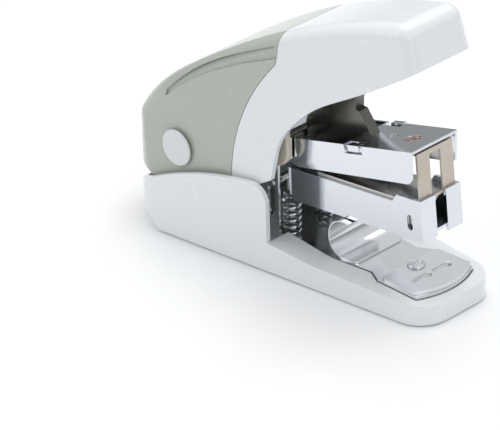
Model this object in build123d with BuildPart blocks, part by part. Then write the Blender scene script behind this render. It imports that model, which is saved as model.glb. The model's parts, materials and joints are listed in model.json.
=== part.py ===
from build123d import *
from math import atan2, cos, degrees, radians, sin
import os

# A small light-effort desk stapler, at rest with its handle open.
# +X runs to the mouth, Z is up and Y = 0 is the mirror plane. X = 0 is the line on which the
# staple closes, and Z = 0 is the surface that the stapler stands on. All sizes are in mm.

os.makedirs("parts", exist_ok=True)

# ---- fits ----
running_gap = 0.05          # radial gap of a pin that turns in its hole
side_gap = 0.3              # free space between parts that move past each other
seat_gap = 0.1              # free space between parts that only sit together
steel = 0.8                 # thickness of the pressed steel parts

# ---- base moulding ----
base_front = 10.0
base_rear = -87.0           # rear end of the rim, which overhangs the foot
foot_rear = -78.0
front_half_width = 13.7
rear_half_width = 22.2
front_corner_radius = 8.5
rear_corner_radius = 8.0
base_wall = 1.4
base_underside = 0.4
tray_height = 4.9           # inside floor
front_rim_height = 5.8
step_rim_height = 8.7       # rim just in front of the tall rear part
step_x = -40.9              # front end of the tall rear part
tub_height = 24.9
rear_rim_height = 11.6
sole_thickness = 1.2
sole_margin = 3.0

# ---- screws that hold the frame in the moulding ----
screw_xs = (-27.0, -70.0)
screw_radius = 1.4
screw_bottom = 2.4

# ---- steel base frame ----
cheek_inner = 9.0           # half the distance between the two upright cheeks
cheek_front = -44.5
cheek_rear = -79.0
frame_floor_top = 7.0
frame_front = 6.4
anvil_thickness = 1.0
anvil_half_width = 10.6
anvil_rear = -8.0
anvil_front = 3.6
anvil_bulge = 3.2           # how far the front edge bows out
clinch_length = 6.4
clinch_width = 2.3
clinch_depth = 0.7
clinch_bridge = 1.0
anvil_rivet_x = -5.5
anvil_rivet_radius = 2.4

# ---- handle pivot, and the angle that the handle is pressed through ----
handle_pivot = (-73.0, 25.2)
handle_travel = 27.0
handle_pin_radius = 1.5
cap_radius = 5.1

# ---- handle ----
handle_half_width = 17.6    # at the handle pivot
handle_taper = 0.047        # how much narrower each side gets per mm forward
handle_draft = 0.06         # and per mm of height
handle_wall = 1.6
shoulder_radius = 4.0
rear_rounding = 10.0        # rear corners, seen from above
handle_tip = (4.3, 69.1)
handle_top_front = (0.8, 80.7)
handle_rear = (-91.5, 22.0)
seam_gap = 0.12
groove_depth = 0.7

# ---- driver arm ----
arm_pivot = (-44.0, 33.0)
arm_pitch = 13.8            # at rest, front end up
arm_travel = 28.9
arm_half_width = 8.5
arm_top = 1.7               # top plate above the pivot, square to the arm
arm_front = 46.6            # top plate's front edge, along the arm
arm_plate_rear = 22.5
arm_flange = 8.8
arm_pin_radius = 2.0
rivet_along = 39.2          # blade rivet, along the arm

# ---- push link between handle and arm ----
crank_length = 9.0          # from the arm pivot to the link's front pin
link_pin_radius = 1.1
link_thickness = 0.8
link_inner = 12.0
link_end_radius = 2.2

# ---- magazine ----
magazine_pin_at = (-47.0, 20.8)
magazine_pitch = 5.0        # at rest, front end up
magazine_drop = 7.9         # how far the rear pin sinks in its slots
magazine_half_width = 7.4
magazine_side = 9.2         # height of the side walls
nose_height = 11.4
nose_length = 8.2
nose_front = 50.7           # along the magazine, from the rear pin
pin_height = 4.5            # rear pin above the underside
magazine_pin_radius = 1.2
front_gap = 4.0             # between the two front flanges

# ---- staples, rail and pusher ----
staple_width = 12.9
staple_wire = 0.5
staple_height = 6.5
staple_top = 10.0           # above the magazine's underside
strip_length = 35.0
strip_front = 49.0
rail_half_width = 5.75
pusher_length = 6.0

# ---- driver blade ----
blade_thickness = 0.6
blade_half_width = 6.5
blade_leg = 4.5
blade_bottom = 10.3
blade_top = 23.8
blade_hook = 2.2

# ---- springs ----
coil_x = -43.2
coil_y = 6.2
coil_radius = 2.2           # to the middle of the wire
coil_wire = 0.35
coil_top = 16.2
leaf_half_width = 9.2
leaf_thickness = 0.4
leaf_front = -18.0
leaf_bend = -22.0           # the strip turns up and over behind here
leaf_top = 18.2
leaf_corner = 2.0


def turned(point, angle):
    """A point (x, z) turned about Y by an angle that lifts the front end."""
    x, z = point
    c, s = cos(radians(angle)), sin(radians(angle))
    return x * c - z * s, x * s + z * c


def tilted_plane(point, pitch):
    """A side-view plane with its origin on (x, z), its X axis pitched up."""
    return Plane(origin=(point[0], 0, point[1]), x_dir=(cos(radians(pitch)), 0, sin(radians(pitch))),
                 z_dir=(0, -1, 0))


under_pin = turned((0, -pin_height), magazine_pitch)
magazine_plane = tilted_plane((magazine_pin_at[0] + under_pin[0], magazine_pin_at[1] + under_pin[1]),
                              magazine_pitch)
arm_plane = tilted_plane(arm_pivot, arm_pitch)
reach = 60.0
side_plane = Plane.XZ.offset(-reach)      # side views are drawn on the far side and cut right across


def beside(plane, distance):
    """The same side-view plane, moved along Y to the given place."""
    return Plane(origin=plane.origin + Vector(0, distance, 0), x_dir=plane.x_dir, z_dir=plane.z_dir)


def save(part, name):
    part.label = name
    export_step(part, f"parts/{name}.step")


def outline(faces):
    """The edges round a group of faces that touch each other."""
    edges = [edge for face in faces for edge in face.edges()]
    return [edge for edge in edges if sum(edge.is_same(other) for other in edges) == 1]


# ---- base moulding ----

def base_plan(inset, rear_end=base_rear - 0.5):
    """The base's outline seen from above, drawn in from its outer face."""
    front, rear = base_front - inset, rear_end + inset
    taper = (rear_half_width - front_half_width) / (base_front - base_rear)
    near, far = [front_half_width + (base_front - x) * taper - inset for x in (front, rear)]
    with BuildSketch(Plane.XY) as plan:
        Polygon((front, -near), (front, near), (rear, far), (rear, -far), align=None)
        fillet(plan.vertices().group_by(Axis.X)[-1], front_corner_radius - inset)
        fillet(plan.vertices().group_by(Axis.X)[0], rear_corner_radius - inset)
    return plan.sketch


def frame_plan(inset, height):
    """Outline of the frame's floor, with the neck behind the anvil and the bowed front edge."""
    nose, width = anvil_front + 0.6 - inset, anvil_half_width - inset
    neck, waist = 8.4 - inset, cheek_inner + steel - inset
    rear = cheek_rear + inset
    with BuildSketch(Plane.XY.offset(height)) as plan:
        with BuildLine():
            Polyline((nose, width), (anvil_rear - 1, width), (-13.0, neck), (-24.0, waist), (rear, waist),
                     (rear, -waist), (-24.0, -waist), (-13.0, -neck), (anvil_rear - 1, -width), (nose, -width))
            ThreePointArc((nose, -width), (nose + anvil_bulge - 0.6, 0), (nose, width))
        make_face()
    return plan.sketch


with BuildPart() as base_shell:
    add(base_plan(0))
    extrude(amount=tub_height + 5)
    with BuildSketch(side_plane):
        with BuildLine():
            Polyline((step_x, tub_height), (step_x, step_rim_height), (-27.0, 7.0), (base_front, front_rim_height),
                     (base_front, base_underside), (foot_rear, base_underside), (base_rear, rear_rim_height))
            ThreePointArc((base_rear, rear_rim_height), (-62.0, 21.9), (step_x, tub_height))
        rim = make_face()
        fillet(rim.vertices().sort_by_distance((step_x, reach, step_rim_height))[0], 5.0)
        fillet(rim.vertices().sort_by_distance((step_x, reach, tub_height))[0], 3.2)
    extrude(amount=2 * reach, mode=Mode.INTERSECT)
    with BuildSketch(Plane.XY.offset(tray_height)):
        add(base_plan(base_wall))
        with Locations((step_x - reach, 0)):
            Rectangle(2 * reach, 2 * reach, mode=Mode.INTERSECT)
        add(frame_plan(-side_gap, 0))
    extrude(amount=tub_height, mode=Mode.SUBTRACT)
    with BuildSketch(Plane.XY):
        add(base_plan(sole_margin, foot_rear))
    extrude(amount=sole_thickness, mode=Mode.SUBTRACT)
    with BuildSketch(Plane.XY.offset(screw_bottom)):
        with Locations(*[(x, 0) for x in screw_xs]):
            Circle(screw_radius + seat_gap)
    extrude(amount=tray_height, mode=Mode.SUBTRACT)
save(base_shell.part, "base_shell")

with BuildPart() as sole_pad:
    with BuildSketch(Plane.XY):
        add(base_plan(sole_margin + seat_gap, foot_rear))
    extrude(amount=sole_thickness)
save(sole_pad.part, "sole_pad")

# ---- handle mouldings ----

# The top line from the rear lip to the tip, and the lower edge of the side walls.
handle_crown = [handle_rear, (-86.3, 35.0), (-67.0, 51.4), (-42.6, 65.4), (-14.0, 76.9), handle_top_front]
rear_lip = (-89.2, 16.6)
lower_edge = [(-0.5, 66.0), (-16.8, 56.1), (-27.3, 49.8), (-34.5, 43.0), (-38.6, 37.0), (-40.2, 30.5)]
throat_bottom = (-41.0, 26.0)
bottom_edge = [(-46.0, 23.0), (-62.0, 14.5), (-72.0, 11.6), (-82.0, 14.4)]


def half_width_at(x, z):
    """Half the handle's outer width where (x, z) lies in the side view."""
    return handle_half_width - handle_taper * (x - handle_pivot[0]) - handle_draft * (z - handle_pivot[1])


def crown_points(inset):
    """Points along the top line, moved in from the outer face square to it."""
    crown = Edge.make_spline([Vector(x, z) for x, z in handle_crown])
    last = 1 - 0.75 * inset / crown.length
    points = []
    for i in range(11):
        t = i / 10 * last
        along = crown.tangent_at(t)
        points.append(crown.position_at(t) + Vector(along.Y, -along.X) * inset)
    return [(point.X, point.Y) for point in points]


def handle_solid(inset, round_rear=True):
    """The handle as a solid block with an open-ended underside, drawn in from its outer face."""
    slope = (handle_tip[0] - handle_top_front[0]) / (handle_tip[1] - handle_top_front[1])
    points = crown_points(inset)
    with BuildPart() as block:
        with BuildSketch(side_plane):
            with BuildLine():
                Spline(*points)
                Polyline(points[-1], (points[-1][0] - slope * (points[-1][1] + 20), -20),
                         (rear_lip[0] + inset, -20), (rear_lip[0] + inset, rear_lip[1]), points[0])
            make_face()
        extrude(amount=2 * reach)
        rear, front, bottom = -2 * reach, reach, -reach
        for side in (1, -1):
            with BuildSketch(Plane.XY.offset(bottom)):
                Polygon((rear, side * (half_width_at(rear, bottom) - inset)), (rear, side * 2 * reach),
                        (front, side * 2 * reach), (front, side * (half_width_at(front, bottom) - inset)), align=None)
            extrude(amount=3 * reach, dir=(0, -side * handle_draft, 1), mode=Mode.SUBTRACT)
        if round_rear:
            back, half = handle_rear[0] + inset, half_width_at(*handle_rear) - inset
            with BuildSketch(Plane.XY.offset(bottom)):
                Polygon((back, -half), (2 * reach, -half), (2 * reach, half), (back, half), align=None)
                fillet(vertices().group_by(Axis.X)[0], rear_rounding - inset)
            extrude(amount=3 * reach, mode=Mode.INTERSECT)
        crown = [f for f in block.faces() if f.geom_type not in (GeomType.PLANE, GeomType.CYLINDER)]
        corners = [e for e in block.edges() if e.length > 60 and e.center().X > 0
                   and abs(e.tangent_at(0.5).Z) > 0.7]
        fillet(outline(crown) + corners, shoulder_radius - inset)
    return block.part


with BuildSketch(side_plane) as underside:
    with BuildLine():
        Spline(handle_tip, *lower_edge, throat_bottom)
        Polyline(throat_bottom, *bottom_edge, rear_lip, (rear_lip[0] - 10, rear_lip[1]), (-110, -25), (70, -25),
                 (70, handle_tip[1]), handle_tip)
    make_face()


def seam_zone(shift):
    """Everything behind the line between the white moulding and the rear cover, seen from the side."""
    with BuildSketch(side_plane) as zone:
        with BuildLine():
            Polyline((-39.8 + shift, 90.0), (-39.8 + shift, 61.2), (-40.4 + shift, 58.4))
            Spline((-40.4 + shift, 58.4), (-47.8 + shift, 48.2), (-52.6 + shift, 37.0), (-54.4 + shift, 23.5))
            Polyline((-54.4 + shift, 23.5), (-54.4 + shift, -5.0), (-110.0, -5.0), (-110.0, 90.0),
                     (-39.8 + shift, 90.0))
        make_face()
    return zone.sketch


# Shallow channel along each shoulder of the rear cover.
with BuildSketch(side_plane) as groove:
    with BuildLine():
        upper = Spline((-77.6, 39.9), (-69.3, 47.8), (-52.7, 57.8), (-40.6, 63.4))
        lower = Spline((-77.6, 38.4), (-69.2, 45.3), (-52.6, 54.7), (-39.2, 60.4))
        Line(upper @ 0, lower @ 0)
        Line(upper @ 1, lower @ 1)
    make_face()

full_block = handle_solid(0)
groove_block = handle_solid(groove_depth, round_rear=False)
hollow_block = handle_solid(handle_wall)
pin_axis = Plane(origin=(handle_pivot[0], 0, handle_pivot[1]), z_dir=(0, 1, 0))
link_angle = 90 + handle_travel / 2
crank_ratio = arm_travel / handle_travel
link_rear_at = (handle_pivot[0] + crank_length * crank_ratio * cos(radians(link_angle)),
                handle_pivot[1] + crank_length * crank_ratio * sin(radians(link_angle)))
front_angle = 90 + arm_travel / 2
link_front_at = (arm_pivot[0] + crank_length * cos(radians(front_angle)),
                 arm_pivot[1] + crank_length * sin(radians(front_angle)))


def across(point):
    """The plane whose normal is the Y axis, with its origin on (x, z)."""
    return Plane(origin=(point[0], 0, point[1]), z_dir=(0, 1, 0))


def pin_between(point, radius, near, far):
    """A round pin along Y."""
    with BuildPart() as rod:
        with BuildSketch(across(point).offset(near)):
            Circle(radius)
        extrude(amount=far - near)
    return rod.part


def cut_across(outline_sketch):
    """A side view taken right across the stapler."""
    with BuildPart() as block:
        extrude(outline_sketch, amount=2 * reach, dir=(0, -1, 0))
    return block.part


with BuildPart() as channel:
    add(cut_across(groove.sketch))
    add(groove_block, mode=Mode.SUBTRACT)

with BuildPart() as handle_shell:
    add(full_block)
    add(hollow_block, mode=Mode.SUBTRACT)
    add(cut_across(underside.sketch), mode=Mode.SUBTRACT)
    add(cut_across(seam_zone(seam_gap)), mode=Mode.SUBTRACT)
save(handle_shell.part, "handle_shell")

with BuildPart() as rear_cover:
    add(full_block)
    add(hollow_block, mode=Mode.SUBTRACT)
    add(cut_across(underside.sketch), mode=Mode.SUBTRACT)
    add(cut_across(seam_zone(0)), mode=Mode.INTERSECT)
    add(channel.part, mode=Mode.SUBTRACT)
    add(pin_between(handle_pivot, cap_radius - 2.0, -reach, reach), mode=Mode.SUBTRACT)
save(rear_cover.part, "rear_cover")

side_face = half_width_at(*handle_pivot)
with BuildPart() as handle_pin:
    add(pin_between(handle_pivot, handle_pin_radius, -side_face + 0.4, side_face - 0.4))
save(handle_pin.part, "handle_pin")

for name, side in (("pivot_cap_left", 1), ("pivot_cap_right", -1)):
    with BuildPart() as cap:
        with BuildSketch(across(handle_pivot).offset(side * (side_face - handle_wall + 0.1))):
            Circle(cap_radius - 2.0 - seat_gap)
        extrude(amount=side * (handle_wall + 0.4))
        with BuildSketch(across(handle_pivot).offset(side * (side_face + 0.5))):
            Circle(cap_radius)
        extrude(amount=side * 0.6)
        fillet(cap.edges().group_by(Axis.Y)[-1 if side > 0 else 0], 0.45)
        add(pin_between(handle_pivot, handle_pin_radius, -side_face + 0.4, side_face - 0.4), mode=Mode.SUBTRACT)
    save(cap.part, name)


# ---- base frame and anvil ----

ear_radius = 4.4
slot_half = magazine_pin_radius + running_gap
slot_top = magazine_pin_at[1] + slot_half
slot_bottom = magazine_pin_at[1] - magazine_drop - slot_half


with BuildPart() as base_frame:
    foot = tray_height + seat_gap
    extrude(frame_plan(0, foot), amount=frame_floor_top - foot, dir=(0, 0, 1))
    extrude(frame_plan(steel, foot), amount=frame_floor_top - foot - steel, dir=(0, 0, 1), mode=Mode.SUBTRACT)
    for side in (1, -1):
        cheek = [(cheek_front, foot), (cheek_front, arm_pivot[1] - ear_radius), (cheek_front + 4.5, arm_pivot[1] - 3.0),
                 (cheek_front + 4.5, arm_pivot[1] + 3.0), (cheek_front + 1.0, arm_pivot[1] + 5.2), (-54.0, 38.0),
                 (-76.0, 30.5), (cheek_rear, 27.0), (cheek_rear, foot)]
        near = cheek_inner if side > 0 else -cheek_inner - steel
        with BuildSketch(beside(Plane.XZ, near)):
            Polygon(*cheek, align=None)
            with Locations(arm_pivot):
                Circle(arm_pin_radius + running_gap, mode=Mode.SUBTRACT)
            with Locations(handle_pivot):
                Circle(handle_pin_radius + running_gap, mode=Mode.SUBTRACT)
            with Locations((magazine_pin_at[0], (slot_top + slot_bottom) / 2)):
                SlotOverall(slot_top - slot_bottom, 2 * slot_half, rotation=90, mode=Mode.SUBTRACT)
        extrude(amount=steel, dir=(0, 1, 0))
    with BuildSketch(Plane.XY.offset(foot)):
        with Locations((coil_x, coil_y), (coil_x, -coil_y)):
            Circle(coil_radius + coil_wire + side_gap)
        with Locations((anvil_rivet_x, 0)):
            Circle(1.2)
        with Locations(*[(x, 0) for x in screw_xs]):
            Circle(screw_radius + seat_gap)
    extrude(amount=5, mode=Mode.SUBTRACT)
save(base_frame.part, "base_frame")

with BuildPart() as anvil_plate:
    with BuildSketch(Plane.XY.offset(frame_floor_top)):
        with BuildLine():
            Polyline((anvil_front, anvil_half_width), (anvil_rear, anvil_half_width - 0.4),
                     (anvil_rear, -anvil_half_width + 0.4), (anvil_front, -anvil_half_width))
            ThreePointArc((anvil_front, -anvil_half_width), (anvil_front + anvil_bulge, 0),
                          (anvil_front, anvil_half_width))
        anvil = make_face()
        fillet(anvil.vertices().group_by(Axis.X)[0], 1.2)
        with Locations((anvil_rivet_x, 0)):
            Circle(1.2, mode=Mode.SUBTRACT)
    extrude(amount=anvil_thickness)
    with BuildSketch(Plane.XY.offset(frame_floor_top + anvil_thickness - clinch_depth)):
        clinch_offset = (clinch_length + clinch_bridge) / 2
        with Locations((0, clinch_offset), (0, -clinch_offset)):
            SlotOverall(clinch_length, clinch_width, rotation=90)
    extrude(amount=clinch_depth, mode=Mode.SUBTRACT)
save(anvil_plate.part, "anvil_plate")

with BuildPart() as anvil_rivet:
    with BuildSketch(Plane.XY.offset(frame_floor_top - steel - 0.6)):
        with Locations((anvil_rivet_x, 0)):
            Circle(anvil_rivet_radius - 0.4)
    extrude(amount=0.6)
    with BuildSketch(Plane.XY.offset(frame_floor_top - steel)):
        with Locations((anvil_rivet_x, 0)):
            Circle(1.2)
    extrude(amount=steel + anvil_thickness)
    with BuildSketch(Plane.XY.offset(frame_floor_top + anvil_thickness)):
        with Locations((anvil_rivet_x, 0)):
            Circle(anvil_rivet_radius)
    extrude(amount=0.35)
save(anvil_rivet.part, "anvil_rivet")

with BuildPart() as frame_screws:
    for x in screw_xs:
        with BuildSketch(Plane.XY.offset(screw_bottom + seat_gap)):
            with Locations((x, 0)):
                Circle(screw_radius)
        extrude(amount=frame_floor_top - screw_bottom - seat_gap)
        with BuildSketch(Plane.XY.offset(frame_floor_top)):
            with Locations((x, 0)):
                Circle(screw_radius + 1.2)
        extrude(amount=0.5)
save(frame_screws.part, "frame_screws")

# ---- magazine: a channel folded round the staples, closed in front by two flanges ----

exit_gap = 1.3              # the slit in front of the floor that a staple leaves through
flange_inner = nose_front - steel
nose_rear = nose_front - nose_length
spring_seat = 0.6           # rear end of the floor, over the lift springs

with BuildPart() as magazine_channel:
    for side in (1, -1):
        wall_inner = magazine_half_width - steel
        wall = [(4.2, 1.6), (4.2, magazine_side), (nose_rear - 1.6, magazine_side), (nose_rear, nose_height),
                (nose_front, nose_height), (nose_front, 0), (5.8, 0)]
        near = wall_inner if side > 0 else -magazine_half_width
        with BuildSketch(beside(magazine_plane, near)):
            Polygon(*wall, align=None)
            with Locations((nose_front - 4.2, 4.7)):
                SlotOverall(4.2, 1.7, rotation=90, mode=Mode.SUBTRACT)
        extrude(amount=steel, dir=(0, 1, 0))
        flange_near = front_gap / 2 if side > 0 else -wall_inner
        with BuildSketch(beside(magazine_plane, flange_near)):
            Polygon((flange_inner, 0), (nose_front, 0), (nose_front, nose_height), (flange_inner, nose_height),
                    align=None)
        extrude(amount=wall_inner - front_gap / 2, dir=(0, 1, 0))
    with BuildSketch(beside(magazine_plane, -magazine_half_width + steel)):
        Polygon((spring_seat, 0), (flange_inner - exit_gap, 0), (flange_inner - exit_gap, steel),
                (spring_seat, steel), align=None)
    extrude(amount=2 * (magazine_half_width - steel), dir=(0, 1, 0))
save(magazine_channel.part, "magazine_channel")

rail_top = staple_top - staple_wire - 0.1
with BuildPart() as staple_rail:
    with BuildSketch(beside(magazine_plane, -rail_half_width)):
        Polygon((-2.6, steel + 1.2), (5.8, steel), (strip_front - 0.4, steel), (strip_front - 0.4, rail_top),
                (-1.0, rail_top), (-2.6, rail_top - 1.6), align=None)
    extrude(amount=2 * rail_half_width, dir=(0, 1, 0))
    with BuildSketch(beside(magazine_plane, -rail_half_width + steel)):
        Polygon((-5, -1), (60, -1), (60, rail_top - steel), (-5, rail_top - steel), align=None)
    extrude(amount=2 * (rail_half_width - steel), dir=(0, 1, 0), mode=Mode.SUBTRACT)
    with BuildSketch(beside(magazine_plane, -reach)):
        with Locations((0, pin_height)):
            Circle(magazine_pin_radius + running_gap)
    extrude(amount=2 * reach, dir=(0, 1, 0), mode=Mode.SUBTRACT)
save(staple_rail.part, "staple_rail")

with BuildPart() as staple_strip:
    with BuildSketch(beside(magazine_plane, -staple_width / 2)):
        Polygon((strip_front - strip_length, staple_top - staple_height), (strip_front, staple_top - staple_height),
                (strip_front, staple_top), (strip_front - strip_length, staple_top), align=None)
    extrude(amount=staple_width, dir=(0, 1, 0))
    with BuildSketch(beside(magazine_plane, -staple_width / 2 + staple_wire)):
        Polygon((-5, -1), (60, -1), (60, staple_top - staple_wire), (-5, staple_top - staple_wire), align=None)
    extrude(amount=staple_width - 2 * staple_wire, dir=(0, 1, 0), mode=Mode.SUBTRACT)
save(staple_strip.part, "staple_strip")

pusher_front = strip_front - strip_length - seat_gap
with BuildPart() as pusher:
    with BuildSketch(beside(magazine_plane, -staple_width / 2)):
        Polygon((pusher_front - pusher_length, 3.6), (pusher_front, 3.6), (pusher_front, staple_top - 0.1),
                (pusher_front - pusher_length, staple_top - 0.1), align=None)
    extrude(amount=staple_width, dir=(0, 1, 0))
    with BuildSketch(beside(magazine_plane, -rail_half_width - 0.1)):
        Polygon((-5, -1), (60, -1), (60, rail_top + 0.08), (-5, rail_top + 0.08), align=None)
    extrude(amount=2 * (rail_half_width + 0.1), dir=(0, 1, 0), mode=Mode.SUBTRACT)
save(pusher.part, "pusher")

rod_height = 5.6
with BuildPart() as guide_rod:
    with BuildSketch(Plane(magazine_plane.from_local_coords(Vector(2.5, rod_height, 0)),
                           x_dir=(0, 1, 0), z_dir=magazine_plane.x_dir)):
        Circle(0.6)
    extrude(amount=strip_front - 5.0)
save(guide_rod.part, "guide_rod")

with BuildPart() as pusher_spring:
    with BuildSketch(Plane(magazine_plane.from_local_coords(Vector(3.0, rod_height, 0)),
                           x_dir=(0, 1, 0), z_dir=magazine_plane.x_dir)):
        Circle(1.7)
        Circle(0.9, mode=Mode.SUBTRACT)
    extrude(amount=strip_front - 7.0)
save(pusher_spring.part, "pusher_spring")

with BuildPart() as magazine_pin:
    add(pin_between(magazine_pin_at, magazine_pin_radius, -cheek_inner - steel - 0.5, cheek_inner + steel + 0.5))
save(magazine_pin.part, "magazine_pin")

# ---- driver blade: two legs on a cross-bar, hooked under the arm ----

blade_rear = flange_inner - 0.1 - blade_thickness
with BuildPart() as driver_blade:
    with BuildSketch(beside(magazine_plane, -blade_half_width)):
        Polygon((blade_rear, blade_bottom), (blade_rear + blade_thickness, blade_bottom),
                (blade_rear + blade_thickness, blade_top), (blade_rear - blade_hook, blade_top),
                (blade_rear - blade_hook, blade_top - blade_thickness), (blade_rear, blade_top - blade_thickness),
                align=None)
    extrude(amount=2 * blade_half_width, dir=(0, 1, 0))
    window = blade_half_width - blade_leg
    with BuildSketch(beside(magazine_plane, -window)):
        Polygon((blade_rear - 5, blade_bottom + 0.8), (blade_rear + 5, blade_bottom + 0.8),
                (blade_rear + 5, blade_top - 1.4), (blade_rear - 5, blade_top - 1.4), align=None)
    extrude(amount=2 * window, dir=(0, 1, 0), mode=Mode.SUBTRACT)
save(driver_blade.part, "driver_blade")

# ---- driver arm: an inverted channel turning on the arm pin ----

arm_bottom = arm_top - arm_flange
notch_rear, notch_front, notch_depth = 22.8, 28.8, 2.4
front_lean = arm_flange * sin(radians(arm_pitch)) / cos(radians(arm_pitch))
with BuildPart() as driver_arm:
    for side in (1, -1):
        near = arm_half_width - steel if side > 0 else -arm_half_width
        with BuildSketch(beside(arm_plane, near)):
            Polygon((arm_front, arm_top), (arm_front - front_lean, arm_bottom), (4.4, arm_bottom + 0.8),
                    (-3.6, arm_bottom + 3.6), (-3.6, arm_top), (notch_rear, arm_top),
                    (notch_rear, arm_top - notch_depth), (notch_front, arm_top - notch_depth), (notch_front, arm_top),
                    align=None)
            lower_corner = Vector(arm_front - front_lean, arm_bottom)
            fillet(vertices().sort_by_distance(lower_corner)[0], 1.6)
            Circle(arm_pin_radius + seat_gap, mode=Mode.SUBTRACT)
        extrude(amount=steel, dir=(0, 1, 0))
    with BuildSketch(beside(arm_plane, -arm_half_width)):
        Polygon((arm_plate_rear, arm_top - steel), (arm_front, arm_top - steel), (arm_front, arm_top),
                (arm_plate_rear, arm_top), align=None)
    extrude(amount=2 * arm_half_width, dir=(0, 1, 0))
    for side in (1, -1):
        with BuildSketch(beside(arm_plane, min(side * 6.0, side * 20.0))):
            Polygon((notch_rear, arm_top - notch_depth), (notch_front, arm_top - notch_depth),
                    (notch_front, arm_top + 1), (notch_rear, arm_top + 1), align=None)
        extrude(amount=14.0, dir=(0, 1, 0), mode=Mode.SUBTRACT)


def arm_top_plane(along, height=arm_top):
    """A plane parallel to the arm's top plate, at a place along the arm."""
    return Plane(origin=arm_plane.from_local_coords(Vector(along, height, 0)), x_dir=arm_plane.x_dir,
                 z_dir=arm_plane.y_dir)


with BuildPart() as drilled_arm:
    add(driver_arm.part)
    for along, radius in ((rivet_along, 2.15), (rivet_along - 6.9, 1.35)):
        with BuildSketch(arm_top_plane(along)):
            Circle(radius)
        extrude(amount=-2 * steel, mode=Mode.SUBTRACT)
save(drilled_arm.part, "driver_arm")

with BuildPart() as blade_rivet:
    with BuildSketch(arm_top_plane(rivet_along, arm_top - steel)):
        Circle(2.7)
    extrude(amount=-0.8)
save(blade_rivet.part, "blade_rivet")

# ---- press rib: a narrow channel standing on the arm, which the handle bears on at the end ----

rib_half_width = 1.6
rib_side = [(26.2, arm_top), (23.4, 8.1), (22.2, 8.4), (24.4, 15.6), (8.7, 13.0), (2.8, 3.6), (2.8, -2.0),
            (arm_plate_rear - seat_gap, -2.0), (arm_plate_rear - seat_gap, arm_top)]
with BuildPart() as press_rib:
    with BuildSketch(beside(arm_plane, -rib_half_width)):
        Polygon(*rib_side, align=None)
        fillet(vertices().group_by(Axis.Y)[-1], 1.5)
    extrude(amount=2 * rib_half_width, dir=(0, 1, 0))
save(press_rib.part, "press_rib")

# ---- clips hooked out over the arm's flanges, through their notches ----

clip_sheet = 0.5
with BuildPart() as arm_clips:
    for side in (1, -1):
        clip_plane = Plane(arm_plane.from_local_coords(Vector(notch_rear + 1.8, 0, 0)), x_dir=(0, side, 0),
                           z_dir=arm_plane.x_dir)
        rise = side
        inner, outer = arm_half_width - steel - seat_gap, arm_half_width + seat_gap
        low, high = arm_top - 4.0, arm_top + 0.2
        with BuildSketch(clip_plane):
            Polygon((inner - clip_sheet, rise * low), (inner, rise * low), (inner, rise * (high - clip_sheet)),
                    (outer, rise * (high - clip_sheet)), (outer, rise * (arm_top - 1.5)),
                    (outer + clip_sheet, rise * (arm_top - 1.5)), (outer + clip_sheet, rise * high),
                    (inner - clip_sheet, rise * high), align=None)
        extrude(amount=notch_front - notch_rear - 2.1)
save(arm_clips.part, "arm_clips")

# ---- arm pin, nylon levers and push links ----

lever_inner = cheek_inner + steel + side_gap
lever_thickness = 1.6
with BuildPart() as arm_pin:
    lever_outer = lever_inner + lever_thickness
    add(pin_between(arm_pivot, arm_pin_radius, -lever_outer - 0.2, lever_outer + 0.2))
save(arm_pin.part, "arm_pin")

for name, side in (("nylon_lever_left", 1), ("nylon_lever_right", -1)):
    near = lever_inner if side > 0 else -lever_inner - lever_thickness
    with BuildPart() as lever:
        with BuildSketch(beside(Plane.XZ, near)):
            with Locations(arm_pivot):
                Circle(5.2)
            with Locations((arm_pivot[0] + 0.4, arm_pivot[1] + 9.2)):
                Circle(3.6)
            with Locations(link_front_at):
                Circle(2.4)
            make_hull()
            with Locations(arm_pivot):
                Circle(arm_pin_radius + seat_gap, mode=Mode.SUBTRACT)
            with Locations(link_front_at):
                Circle(link_pin_radius + seat_gap, mode=Mode.SUBTRACT)
        extrude(amount=lever_thickness, dir=(0, 1, 0))
        fillet([e for e in lever.faces().sort_by(Axis.Y)[-1 if side > 0 else 0].outer_wire().edges()], 0.5)
    save(lever.part, name)

with BuildPart() as link_front_pins:
    for side in (1, -1):
        inner, outer = side * (lever_inner + 0.1), side * (link_inner + link_thickness + 0.1)
        add(pin_between(link_front_at, link_pin_radius, min(inner, outer), max(inner, outer)))
save(link_front_pins.part, "link_front_pins")

boss_outer = half_width_at(*link_rear_at) - handle_wall - 0.5
with BuildPart() as link_rear_pins:
    for side in (1, -1):
        inner, middle, outer = side * (link_inner - 0.3), side * (link_inner + link_thickness + 0.3), side * boss_outer
        add(pin_between(link_rear_at, link_pin_radius, min(inner, outer), max(inner, outer)))
        add(pin_between(link_rear_at, link_pin_radius + 1.2, min(middle, outer), max(middle, outer)))
save(link_rear_pins.part, "link_rear_pins")

link_length = ((link_front_at[0] - link_rear_at[0]) ** 2 + (link_front_at[1] - link_rear_at[1]) ** 2) ** 0.5
link_pitch = degrees(atan2(link_front_at[1] - link_rear_at[1], link_front_at[0] - link_rear_at[0]))
for name, side in (("push_link_left", 1), ("push_link_right", -1)):
    near = link_inner if side > 0 else -link_inner - link_thickness
    with BuildPart() as link:
        with BuildSketch(beside(tilted_plane(link_rear_at, link_pitch), near)):
            with Locations((link_length / 2, 0)):
                SlotCenterToCenter(link_length, 2 * link_end_radius)
            with Locations((0, 0), (link_length, 0)):
                Circle(link_pin_radius + running_gap, mode=Mode.SUBTRACT)
        extrude(amount=link_thickness, dir=(0, 1, 0))
    save(link.part, name)

# ---- springs ----

with BuildPart() as lift_coils:
    with BuildSketch(Plane.XY.offset(tray_height + seat_gap)):
        with Locations((coil_x, coil_y), (coil_x, -coil_y)):
            Circle(coil_radius + coil_wire)
            Circle(coil_radius - coil_wire, mode=Mode.SUBTRACT)
    extrude(amount=coil_top - tray_height - seat_gap)
save(lift_coils.part, "lift_coils")

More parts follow.
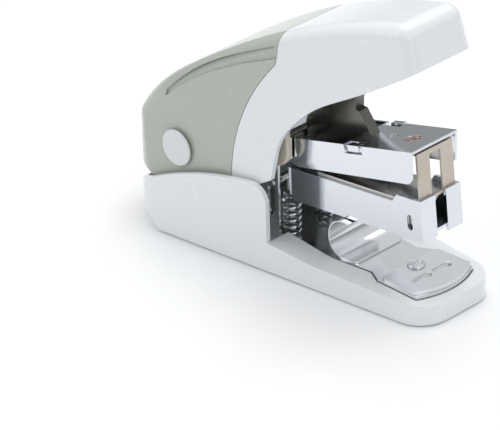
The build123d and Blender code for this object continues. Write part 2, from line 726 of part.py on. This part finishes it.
with BuildPart() as lift_leaf:
    low = frame_floor_top + 0.05
    outer_radius = (leaf_top - low) / 2
    inner_radius = outer_radius - leaf_thickness
    middle = low + outer_radius
    with BuildSketch(beside(Plane.XZ, -leaf_half_width)):
        with BuildLine():
            Line((leaf_front, low), (leaf_bend, low))
            ThreePointArc((leaf_bend, low), (leaf_bend - outer_radius, middle), (leaf_bend, leaf_top))
            Polyline((leaf_bend, leaf_top), (leaf_bend + 2.0, leaf_top), (leaf_bend + 2.0, leaf_top - leaf_thickness),
                     (leaf_bend, leaf_top - leaf_thickness))
            ThreePointArc((leaf_bend, leaf_top - leaf_thickness), (leaf_bend - inner_radius, middle),
                          (leaf_bend, low + leaf_thickness))
            Polyline((leaf_bend, low + leaf_thickness), (leaf_front, low + leaf_thickness), (leaf_front, low))
        make_face()
    extrude(amount=2 * leaf_half_width, dir=(0, 1, 0))
    fillet(lift_leaf.edges().filter_by(Axis.Z).sort_by(Axis.X)[-2:], leaf_corner)
save(lift_leaf.part, "lift_leaf")

with BuildPart() as handle_return_spring:
    for side in (1, -1):
        inner, outer = side * 2.0, side * (cheek_inner - side_gap)
        add(pin_between(handle_pivot, handle_pin_radius + 1.0, min(inner, outer), max(inner, outer)))
    add(pin_between(handle_pivot, handle_pin_radius + 0.2, -reach, reach), mode=Mode.SUBTRACT)
save(handle_return_spring.part, "handle_return_spring")
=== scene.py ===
import json
from math import cos, pi, radians, sin, tau

import bmesh
import bpy
from mathutils import Matrix, Vector


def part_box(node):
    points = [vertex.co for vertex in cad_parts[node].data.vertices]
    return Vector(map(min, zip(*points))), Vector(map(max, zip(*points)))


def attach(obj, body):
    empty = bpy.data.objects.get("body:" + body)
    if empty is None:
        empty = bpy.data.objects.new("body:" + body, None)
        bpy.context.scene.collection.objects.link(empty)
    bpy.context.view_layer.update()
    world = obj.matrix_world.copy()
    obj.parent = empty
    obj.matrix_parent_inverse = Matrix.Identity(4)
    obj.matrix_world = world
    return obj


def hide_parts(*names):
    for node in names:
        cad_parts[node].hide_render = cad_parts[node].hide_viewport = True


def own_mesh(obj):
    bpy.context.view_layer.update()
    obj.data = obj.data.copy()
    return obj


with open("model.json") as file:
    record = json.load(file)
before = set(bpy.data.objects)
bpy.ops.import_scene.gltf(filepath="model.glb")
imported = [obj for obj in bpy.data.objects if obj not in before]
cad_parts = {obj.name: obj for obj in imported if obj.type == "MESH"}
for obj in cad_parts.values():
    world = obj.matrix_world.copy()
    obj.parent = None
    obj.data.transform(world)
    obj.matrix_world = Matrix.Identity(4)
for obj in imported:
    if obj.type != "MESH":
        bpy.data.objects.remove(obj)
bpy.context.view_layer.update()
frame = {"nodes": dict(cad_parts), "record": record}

mm = 0.001
nodes = frame["nodes"]


class Wire:
    # an output socket that takes part in sums
    def __init__(self, shade, socket):
        self.shade, self.socket = shade, socket

    def join(self, operation, first, second):
        return self.shade.node("Math", {"operation": operation}, {0: first, 1: second})

    def __add__(self, other):
        return self.join("ADD", self, other)

    def __sub__(self, other):
        return self.join("SUBTRACT", self, other)

    def __rsub__(self, other):
        return self.join("SUBTRACT", other, self)

    def __mul__(self, other):
        return self.join("MULTIPLY", self, other)

    __radd__ = __add__
    __rmul__ = __mul__


class Shade:
    def __init__(self, name):
        self.material = bpy.data.materials.new(name)
        self.material.use_nodes = True
        self.tree = self.material.node_tree
        self.tree.nodes.clear()

    def node(self, kind, settings=None, sockets=None, out=0):
        made = self.tree.nodes.new("ShaderNode" + kind)
        for key, value in (settings or {}).items():
            setattr(made, key, value)
        for key, value in (sockets or {}).items():
            if isinstance(value, Wire):
                self.tree.links.new(value.socket, made.inputs[key])
            else:
                made.inputs[key].default_value = value
        return Wire(self, made.outputs[out]) if made.outputs else None

    def place(self, stretch=(1, 1, 1), turn=(0, 0, 0)):
        # object coordinates in millimetres, turned and stretched
        here = self.node("TexCoord", out=3)
        scale = tuple(s / mm for s in stretch)
        return self.node("Mapping", {}, {"Vector": here, "Rotation": turn, "Scale": scale})

    def noise(self, where, scale, detail=4.0, rough=0.55):
        sockets = {"Vector": where, "Scale": scale, "Detail": detail, "Roughness": rough}
        return self.node("TexNoise", {}, sockets)

    def levels(self, value, low, high):
        return self.node("MapRange", {"clamp": True}, {"Value": value, "From Min": low, "From Max": high})

    def mix(self, factor, first, second):
        return self.node("Mix", {"data_type": "RGBA"}, {0: factor, 6: first, 7: second}, out=2)

    def bump(self, height, strength, distance):
        return self.node("Bump", {}, {"Height": height, "Strength": strength, "Distance": distance})

    def surface(self, **sockets):
        named = {key.replace("_", " "): value for key, value in sockets.items()}
        made = self.node("BsdfPrincipled", {}, named)
        self.node("OutputMaterial", {}, {"Surface": made})
        return self.material


def tone(color, amount=1.0):
    return tuple(min(1.0, c * amount) for c in color) + (1.0,)


def plastic(name, color, roughness, grain, coat=0.0, soft=0.0):
    # moulded plastic: very faint flow shading, fine grain and patches dulled by handling
    shade = Shade(name)
    here = shade.place()
    flow = shade.levels(shade.noise(here, 0.03, 1, 0.3), 0.3, 0.7)
    dull = shade.levels(shade.noise(here, 0.12, 3, 0.5), 0.3, 0.8)
    fine = shade.noise(here, grain["scale"], 2, 0.5)
    base = shade.mix(flow, tone(color, 0.992), tone(color, 1.008))
    return shade.surface(Base_Color=base, Roughness=dull * grain["dull"] + roughness,
                         Coat_Weight=coat, Coat_Roughness=0.12,
                         Subsurface_Weight=soft, Subsurface_Radius=(0.004, 0.004, 0.004), Subsurface_Scale=1.0,
                         Normal=shade.bump(fine, grain["strength"], grain["depth"]))


def metal(name, color, roughness, brush, tarnish=0.0, wave=0.0):
    # plated or ground steel: fine drawn lines along one way, hairline scratches and a little clouding
    shade = Shade(name)
    here = shade.place()
    drawn = shade.noise(shade.place(brush["stretch"]), brush["scale"], 5, 0.65)
    cloud = shade.levels(shade.noise(here, 0.12, 4, 0.6), 0.3, 0.75)
    hair = shade.noise(shade.place((0.12, 1.6, 1.6), (0.3, 0.5, 0.4)), 5.0, 2, 0.5)  # long and thin, on a slant
    scratch = shade.levels(hair, 0.66, 0.7)
    uneven = shade.noise(here, 0.22, 2)
    base = shade.mix(cloud * tarnish, tone(color), tone(color, 0.72))
    height = drawn * brush["strength"] + uneven * wave - scratch * 0.15
    return shade.surface(Base_Color=base, Metallic=1.0,
                         Roughness=drawn * brush["spread"] + cloud * 0.05 + scratch * 0.08 + roughness,
                         Normal=shade.bump(height, brush["bite"], 0.0001))


along = {"stretch": (0.05, 1.4, 1.4), "scale": 4.0, "strength": 0.25, "spread": 0.06, "bite": 0.12}
across = {"stretch": (1.4, 0.06, 1.4), "scale": 4.0, "strength": 0.4, "spread": 0.1, "bite": 0.2}
upright = {"stretch": (1.4, 1.4, 0.06), "scale": 4.0, "strength": 0.4, "spread": 0.12, "bite": 0.25}
turnedMark = {"stretch": (1.2, 0.3, 1.2), "scale": 6.0, "strength": 0.3, "spread": 0.08, "bite": 0.15}

finishes = {
    "whitePlastic": plastic("whitePlastic", (0.80, 0.82, 0.84), 0.24,
                            {"scale": 3.0, "strength": 0.02, "depth": 0.00002, "dull": 0.05}, 0.25, 0.04),
    # the caps' white plastic, set darker than the handle's white: painted shade of the side faces they sit on
    "capWhiteWithPaintedShade": plastic("capWhiteWithPaintedShade", (0.70, 0.72, 0.73), 0.24,
                          {"scale": 3.0, "strength": 0.02, "depth": 0.00002, "dull": 0.05}, 0.3),
    "greyPlastic": plastic("greyPlastic", (0.44, 0.475, 0.42), 0.24,
                           {"scale": 3.0, "strength": 0.03, "depth": 0.00002, "dull": 0.05}, 0.4),
    "nylon": plastic("nylon", (0.62, 0.56, 0.47), 0.4,
                     {"scale": 6.0, "strength": 0.12, "depth": 0.00006, "dull": 0.15}, 0.0, 0.12),
    "darkPlastic": plastic("darkPlastic", (0.03, 0.03, 0.034), 0.38,
                           {"scale": 7.0, "strength": 0.15, "depth": 0.00006, "dull": 0.2}),
    "rubber": plastic("rubber", (0.03, 0.03, 0.03), 0.62,
                      {"scale": 4.0, "strength": 0.35, "depth": 0.0001, "dull": 0.2}),
    "chrome": metal("chrome", (0.74, 0.765, 0.81), 0.05, along, 0.08, 0.6),
    # a darkened copy of the chrome: painted dark reflection and shade where the press rib sits under the handle
    "chromePaintedDarkReflection": metal("chromePaintedDarkReflection", (0.17, 0.165, 0.15), 0.2, along, 0.35, 0.6),
    "zinc": metal("zinc", (0.78, 0.79, 0.80), 0.12, along, 0.15, 0.5),
    "anvilSteel": metal("anvilSteel", (0.82, 0.83, 0.85), 0.09, across, 0.1, 0.4),
    "bladeSteel": metal("bladeSteel", (0.60, 0.54, 0.47), 0.36, upright, 0.2),
    "pinSteel": metal("pinSteel", (0.66, 0.66, 0.65), 0.14, turnedMark, 0.2),
    "springWire": metal("springWire", (0.66, 0.67, 0.68), 0.12, turnedMark, 0.2),
    "copper": metal("copper", (0.72, 0.46, 0.38), 0.2, turnedMark, 0.3),
    "stapleWire": metal("stapleWire", (0.68, 0.67, 0.65), 0.2, along, 0.2),
}
print("finishes", len(finishes))


# each finished piece gets its finish and its body, and shades smooth below the sharp angle
def newPiece(name, bm, finish, body, sharp=38):
    for face in bm.faces:
        face.smooth = True
    for edge in bm.edges:
        edge.smooth = len(edge.link_faces) != 2 or edge.calc_face_angle(0) < radians(sharp)
    mesh = bpy.data.meshes.new(name)
    bm.to_mesh(mesh)
    bm.free()
    piece = bpy.data.objects.new(name, mesh)
    bpy.context.scene.collection.objects.link(piece)
    mesh.materials.append(finishes[finish])
    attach(piece, body)
    return piece


def nodeBody(node):
    for body, owned in frame["record"]["behaviour"]["bodies"].items():
        if node in owned:
            return body


def merged(node):
    # a copy of a node's mesh, joined up and with its flat faces whole again
    bm = bmesh.new()
    bm.from_mesh(nodes[node].data)
    bmesh.ops.remove_doubles(bm, verts=bm.verts, dist=2e-6)
    bmesh.ops.dissolve_limit(bm, angle_limit=radians(0.4), verts=bm.verts, edges=bm.edges)
    return bm


def outerRim(bm, middle):
    # upward edges of a moulding's outer wall
    rim = []
    for e in bm.edges:
        if len(e.link_faces) == 2:
            up = max(e.link_faces, key=lambda face: face.normal.z)
            wall = min(e.link_faces, key=lambda face: abs(face.normal.z))
            centre = (e.verts[0].co + e.verts[1].co) / 2 - Vector(middle)
            if up.normal.z > 0.5 and abs(wall.normal.z) < 0.2 and wall.normal.xy.dot(centre.xy) > 0:
                rim.append(e)
    return rim


def softened(node, finish, edge, steps, sharp=28):
    # the node's own shape with its edges rounded over, as moulding and tumbling leave them
    bm = merged(node)
    if node in rims:
        bmesh.ops.bevel(bm, geom=outerRim(bm, rims[node]["middle"]), offset=rims[node]["radius"] * mm,
                        offset_type="OFFSET", affect="EDGES", segments=rims[node]["steps"], profile=0.5,
                        material=-1, clamp_overlap=True)
    picked = [e for e in bm.edges if len(e.link_faces) == 2 and e.calc_face_angle(0) > radians(sharp)]
    bmesh.ops.bevel(bm, geom=picked, offset=edge * mm, offset_type="OFFSET", affect="EDGES", segments=steps,
                    profile=0.5, material=-1, clamp_overlap=True)
    piece = newPiece(node + "Finished", bm, finish, nodeBody(node))
    even = piece.modifiers.new("even", "WEIGHTED_NORMAL")
    even.keep_sharp = True
    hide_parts(node)
    return piece


# the outer rim's rounding in mm, and the point that an outer wall faces away from
rims = {"base_shell": {"middle": (-0.04, 0, 0), "radius": 0.9, "steps": 5}}
# finish, edge rounding in mm and steps in that rounding
edges = {
    "base_shell": ("whitePlastic", 0.45, 3), "handle_shell": ("whitePlastic", 0.4, 3),
    # the pivot caps take the white plastic with painted side shade
    "rear_cover": ("greyPlastic", 0.2, 2), "pivot_cap_left": ("capWhiteWithPaintedShade", 0.1, 2),
    "pivot_cap_right": ("capWhiteWithPaintedShade", 0.1, 2), "sole_pad": ("rubber", 0.3, 2),
    "base_frame": ("zinc", 0.15, 2), "anvil_plate": ("anvilSteel", 0.12, 2),
    "anvil_rivet": ("anvilSteel", 0.15, 2), "frame_screws": ("zinc", 0.15, 2),
    # press_rib takes the chrome with painted dark reflection and shade
    "driver_arm": ("chrome", 0.14, 2), "press_rib": ("chromePaintedDarkReflection", 0.12, 2),
    "arm_clips": ("chrome", 0.08, 2), "blade_rivet": ("copper", 0.3, 3),
    "magazine_channel": ("chrome", 0.14, 2), "staple_rail": ("zinc", 0.12, 2),
    "pusher": ("darkPlastic", 0.15, 2), "driver_blade": ("bladeSteel", 0.08, 2),
    "nylon_lever_left": ("nylon", 0.1, 2), "nylon_lever_right": ("nylon", 0.1, 2),
    "arm_pin": ("pinSteel", 0.25, 3), "handle_pin": ("pinSteel", 0.2, 2),
    "magazine_pin": ("pinSteel", 0.2, 2), "link_front_pins": ("pinSteel", 0.2, 2),
    "link_rear_pins": ("pinSteel", 0.2, 2), "push_link_left": ("zinc", 0.12, 2),
    "push_link_right": ("zinc", 0.12, 2), "guide_rod": ("pinSteel", 0.1, 2),
    "lift_leaf": ("anvilSteel", 0.06, 1),
}
finished = {node: softened(node, finish, edge, steps) for node, (finish, edge, steps) in edges.items()}
leaf = finished["lift_leaf"]
print("plate work and mouldings", len(edges))


# the anvil rivet's rolled head: a ring round a five-petalled rosette
rosette = {"ring": 1.95 * mm, "bead": 0.32 * mm, "petals": 5, "reach": 0.95 * mm, "petal": 0.5 * mm}
low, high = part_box("anvil_rivet")
headCentre = Vector(((low[0] + high[0]) / 2, 0, high[2]))
bm = bmesh.new()
bead = bmesh.ops.create_circle(bm, segments=12, radius=rosette["bead"],
                               matrix=Matrix.Translation(headCentre + Vector((rosette["ring"], 0, 0)))
                               @ Matrix.Rotation(pi / 2, 4, "X"))
bmesh.ops.spin(bm, geom=bead["verts"] + bm.edges[:], cent=headCentre, axis=(0, 0, 1), angle=tau, steps=48,
               use_merge=True, use_duplicate=False)
for i in range(rosette["petals"] + 1):
    away, bearing = rosette["reach"] if i else 0, tau * i / rosette["petals"]
    spot = headCentre + Vector((away * cos(bearing), away * sin(bearing), 0))
    bmesh.ops.create_uvsphere(bm, u_segments=16, v_segments=10, radius=rosette["petal"],
                              matrix=Matrix.Translation(spot) @ Matrix.Diagonal((1, 1, 0.6, 1)))
rivetHead = newPiece("anvilRivetHead", bm, "anvilSteel", "base")
print("rivet head")


def coil(centre, axis, length, spring):
    # a ring of wire swept round and along the axis
    axis = Vector(axis).normalized()
    side = axis.orthogonal().normalized()
    bm = bmesh.new()
    start = Vector(centre) + side * spring["radius"]
    turn = Matrix.Translation(start) @ Matrix((side, axis, side.cross(axis))).transposed().to_4x4()
    ring = bmesh.ops.create_circle(bm, segments=spring["sides"], radius=spring["wire"], matrix=turn)
    steps = int(spring["turns"] * spring["stepsPerTurn"])
    bmesh.ops.spin(bm, geom=ring["verts"] + bm.edges[:], cent=Vector(centre), axis=axis,
                   dvec=axis * (length / steps), angle=tau * spring["turns"], steps=steps,
                   use_merge=False, use_duplicate=False)
    ends = [e for e in bm.edges if len(e.link_faces) == 1]
    bmesh.ops.holes_fill(bm, edges=ends, sides=spring["sides"])
    bmesh.ops.recalc_face_normals(bm, faces=bm.faces)
    return bm


def joinedPiece(name, meshes, finish, node):
    whole = bmesh.new()
    for bm in meshes:
        holder = bpy.data.meshes.new("holder")
        bm.to_mesh(holder)
        bm.free()
        whole.from_mesh(holder)
        bpy.data.meshes.remove(holder)
    piece = newPiece(name, whole, finish, nodeBody(node))
    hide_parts(node)
    return piece


liftSpring = {"wire": 0.42 * mm, "turns": 5.5, "radius": 2.13 * mm, "sides": 10, "stepsPerTurn": 24,
              "keep": 0.3}
low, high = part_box("lift_coils")
middleX = (low[0] + high[0]) / 2
sideY = (high[1] - low[1]) / 2 - liftSpring["radius"] - liftSpring["wire"]
rise = high[2] - low[2] - 2 * liftSpring["wire"]
foot = low[2] + liftSpring["wire"]
coils = [coil((middleX, side * sideY, foot), (0, 0, 1), rise, liftSpring) for side in (1, -1)]
liftCoils = joinedPiece("liftCoilsWound", coils, "springWire", "lift_coils")
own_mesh(liftCoils)
low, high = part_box("lift_leaf")
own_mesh(leaf)

returnSpring = {"wire": 0.5 * mm, "turns": 4.5, "radius": 2.1 * mm, "sides": 10, "stepsPerTurn": 24,
                "innerEnd": 2.6 * mm, "bothEnds": 3.4 * mm}
low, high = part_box("handle_return_spring")
centreX, centreZ = (low[0] + high[0]) / 2, (low[2] + high[2]) / 2
run = high[1] - returnSpring["bothEnds"]
coils = [coil((centreX, side * returnSpring["innerEnd"], centreZ), (0, side, 0), run, returnSpring)
         for side in (1, -1)]
joinedPiece("returnSpringWound", coils, "springWire", "handle_return_spring")

magazineTilt = radians(5)
pusherSpring = {"wire": 0.3 * mm, "turns": 30, "radius": 1.3 * mm, "sides": 6, "stepsPerTurn": 14,
                "rearInset": 0.3 * mm, "height": 1.9 * mm, "endRoom": 1.2 * mm}
low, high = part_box("pusher_spring")
forward = Vector((cos(magazineTilt), 0, sin(magazineTilt)))
back = Vector((low[0] + pusherSpring["rearInset"], 0, low[2] + pusherSpring["height"]))
pusherLength = high[0] - low[0] - pusherSpring["endRoom"]
coils = [coil(back, forward, pusherLength, pusherSpring)]
joinedPiece("pusherSpringWound", coils, "springWire", "pusher_spring")
print("springs")


staples = {"pitch": 0.5 * mm, "gap": 0.05 * mm, "wire": 0.5 * mm, "count": 70, "legHeight": 6.5 * mm,
           "rounding": 0.12 * mm}
low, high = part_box("staple_strip")
halfWidth = (high[1] - low[1]) / 2
legHeight, wire = staples["legHeight"], staples["wire"]
rearLow = Vector((low[0] + legHeight * sin(magazineTilt), 0, low[2]))
upward = Vector((-sin(magazineTilt), 0, cos(magazineTilt)))
lay = Matrix((forward, (0, 1, 0), upward)).transposed().to_4x4()
lay.translation = rearLow
bm = bmesh.new()
one = staples["pitch"] - staples["gap"]
for y, z, wide, tall in ((0, legHeight - wire / 2, 2 * halfWidth, wire),
                         (halfWidth - wire / 2, (legHeight - wire) / 2, wire, legHeight - wire),
                         (-halfWidth + wire / 2, (legHeight - wire) / 2, wire, legHeight - wire)):
    block = bmesh.ops.create_cube(bm, size=1.0)
    bmesh.ops.scale(bm, verts=block["verts"], vec=(one, wide, tall))
    bmesh.ops.translate(bm, verts=block["verts"], vec=(staples["pitch"] / 2, y, z))
outer = [e for e in bm.edges if abs(e.verts[0].co.x - e.verts[1].co.x) > one / 2 and
         (abs(abs(e.verts[0].co.y) - halfWidth) < 1e-6 or abs(e.verts[0].co.z - legHeight) < 1e-6)]
bmesh.ops.bevel(bm, geom=outer, offset=staples["rounding"], offset_type="OFFSET", affect="EDGES", segments=2,
                profile=0.5, material=-1)
first = bm.verts[:] + bm.edges[:] + bm.faces[:]
for i in range(1, staples["count"]):
    copy = bmesh.ops.duplicate(bm, geom=first)
    bmesh.ops.translate(bm, verts=[v for v in copy["geom"] if isinstance(v, bmesh.types.BMVert)],
                        vec=(i * staples["pitch"], 0, 0))
bmesh.ops.transform(bm, matrix=lay, verts=bm.verts)
strip = newPiece("stapleStripWires", bm, "stapleWire", "magazine", 50)
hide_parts("staple_strip")
print("staples", staples["count"])


paleFloor = {"size": 6.0, "low": (0.90, 0.90, 0.905), "high": (0.93, 0.93, 0.93), "roughness": 0.55}
floorMesh = bmesh.new()
bmesh.ops.create_grid(floorMesh, x_segments=1, y_segments=1, size=paleFloor["size"])
floorShade = Shade("paleFloor")
paper = floorShade.noise(floorShade.place(), 0.02, 3)
level = floorShade.levels(paper, 0.2, 0.8)
floorColor = floorShade.mix(level, tone(paleFloor["low"]), tone(paleFloor["high"]))
floorMaterial = floorShade.surface(Base_Color=floorColor, Roughness=level * 0.05 + paleFloor["roughness"])
mesh = bpy.data.meshes.new("floor")
floorMesh.to_mesh(mesh)
floorMesh.free()
floor = bpy.data.objects.new("floor", mesh)
mesh.materials.append(floorMaterial)
bpy.context.scene.collection.objects.link(floor)


def softBox(name, place, towards, size, power):
    data = bpy.data.lights.new(name, "AREA")
    data.shape, data.size, data.size_y, data.energy = "RECTANGLE", size[0], size[1], power
    light = bpy.data.objects.new(name, data)
    light.location = place
    light.rotation_euler = (Vector(towards) - Vector(place)).to_track_quat("-Z", "Y").to_euler()
    bpy.context.scene.collection.objects.link(light)


softBoxes = {
    "overhead": {"place": (-0.15, 0.25, 0.9), "towards": (-0.03, 0, 0.03), "size": (0.9, 0.7), "power": 5.0},
    "leftFill": {"place": (-0.55, -0.75, 0.5), "towards": (-0.04, 0, 0.03), "size": (0.6, 0.6), "power": 1.2},
    "rightFill": {"place": (0.8, -0.25, 0.35), "towards": (-0.02, 0, 0.03), "size": (0.5, 0.5), "power": 0.9},
}
for name, box in softBoxes.items():
    softBox(name, **box)

backdrop = {"strength": 0.72, "stops": ((0.0, (0.25, 0.26, 0.25, 1)), (0.45, (0.96, 0.98, 1.0, 1)))}
world = bpy.data.worlds.new("studio")
bpy.context.scene.world = world
world.use_nodes = True
sky = world.node_tree
sky.nodes.clear()
where = sky.nodes.new("ShaderNodeTexCoord")
split = sky.nodes.new("ShaderNodeSeparateXYZ")
ramp = sky.nodes.new("ShaderNodeValToRGB")
glow = sky.nodes.new("ShaderNodeBackground")
out = sky.nodes.new("ShaderNodeOutputWorld")
sky.links.new(where.outputs["Generated"], split.inputs[0])
sky.links.new(split.outputs["Z"], ramp.inputs[0])
sky.links.new(ramp.outputs[0], glow.inputs[0])
sky.links.new(glow.outputs[0], out.inputs[0])
for element, (position, color) in zip(ramp.color_ramp.elements, backdrop["stops"]):
    element.position, element.color = position, color
glow.inputs["Strength"].default_value = backdrop["strength"]

studio = {"aim": (-0.03804, -0.0266, 0.0214), "eye": (0.5895, -0.6436, 0.5), "lens": 284.78, "sensor": 36.0,
          "lean": -1.66, "clip": (0.05, 30.0)}
cameraData = bpy.data.cameras.new("view")
cameraData.lens, cameraData.sensor_width = studio["lens"], studio["sensor"]
cameraData.clip_start, cameraData.clip_end = studio["clip"]
camera = bpy.data.objects.new("view", cameraData)
camera.location = studio["eye"]
look = (Vector(studio["aim"]) - Vector(studio["eye"])).to_track_quat("-Z", "Y").to_matrix()
camera.rotation_euler = (look @ Matrix.Rotation(radians(studio["lean"]), 3, "Z")).to_euler()
bpy.context.scene.collection.objects.link(camera)
bpy.context.scene.camera = camera
bpy.context.scene.view_settings.view_transform = "Standard"
print("studio")
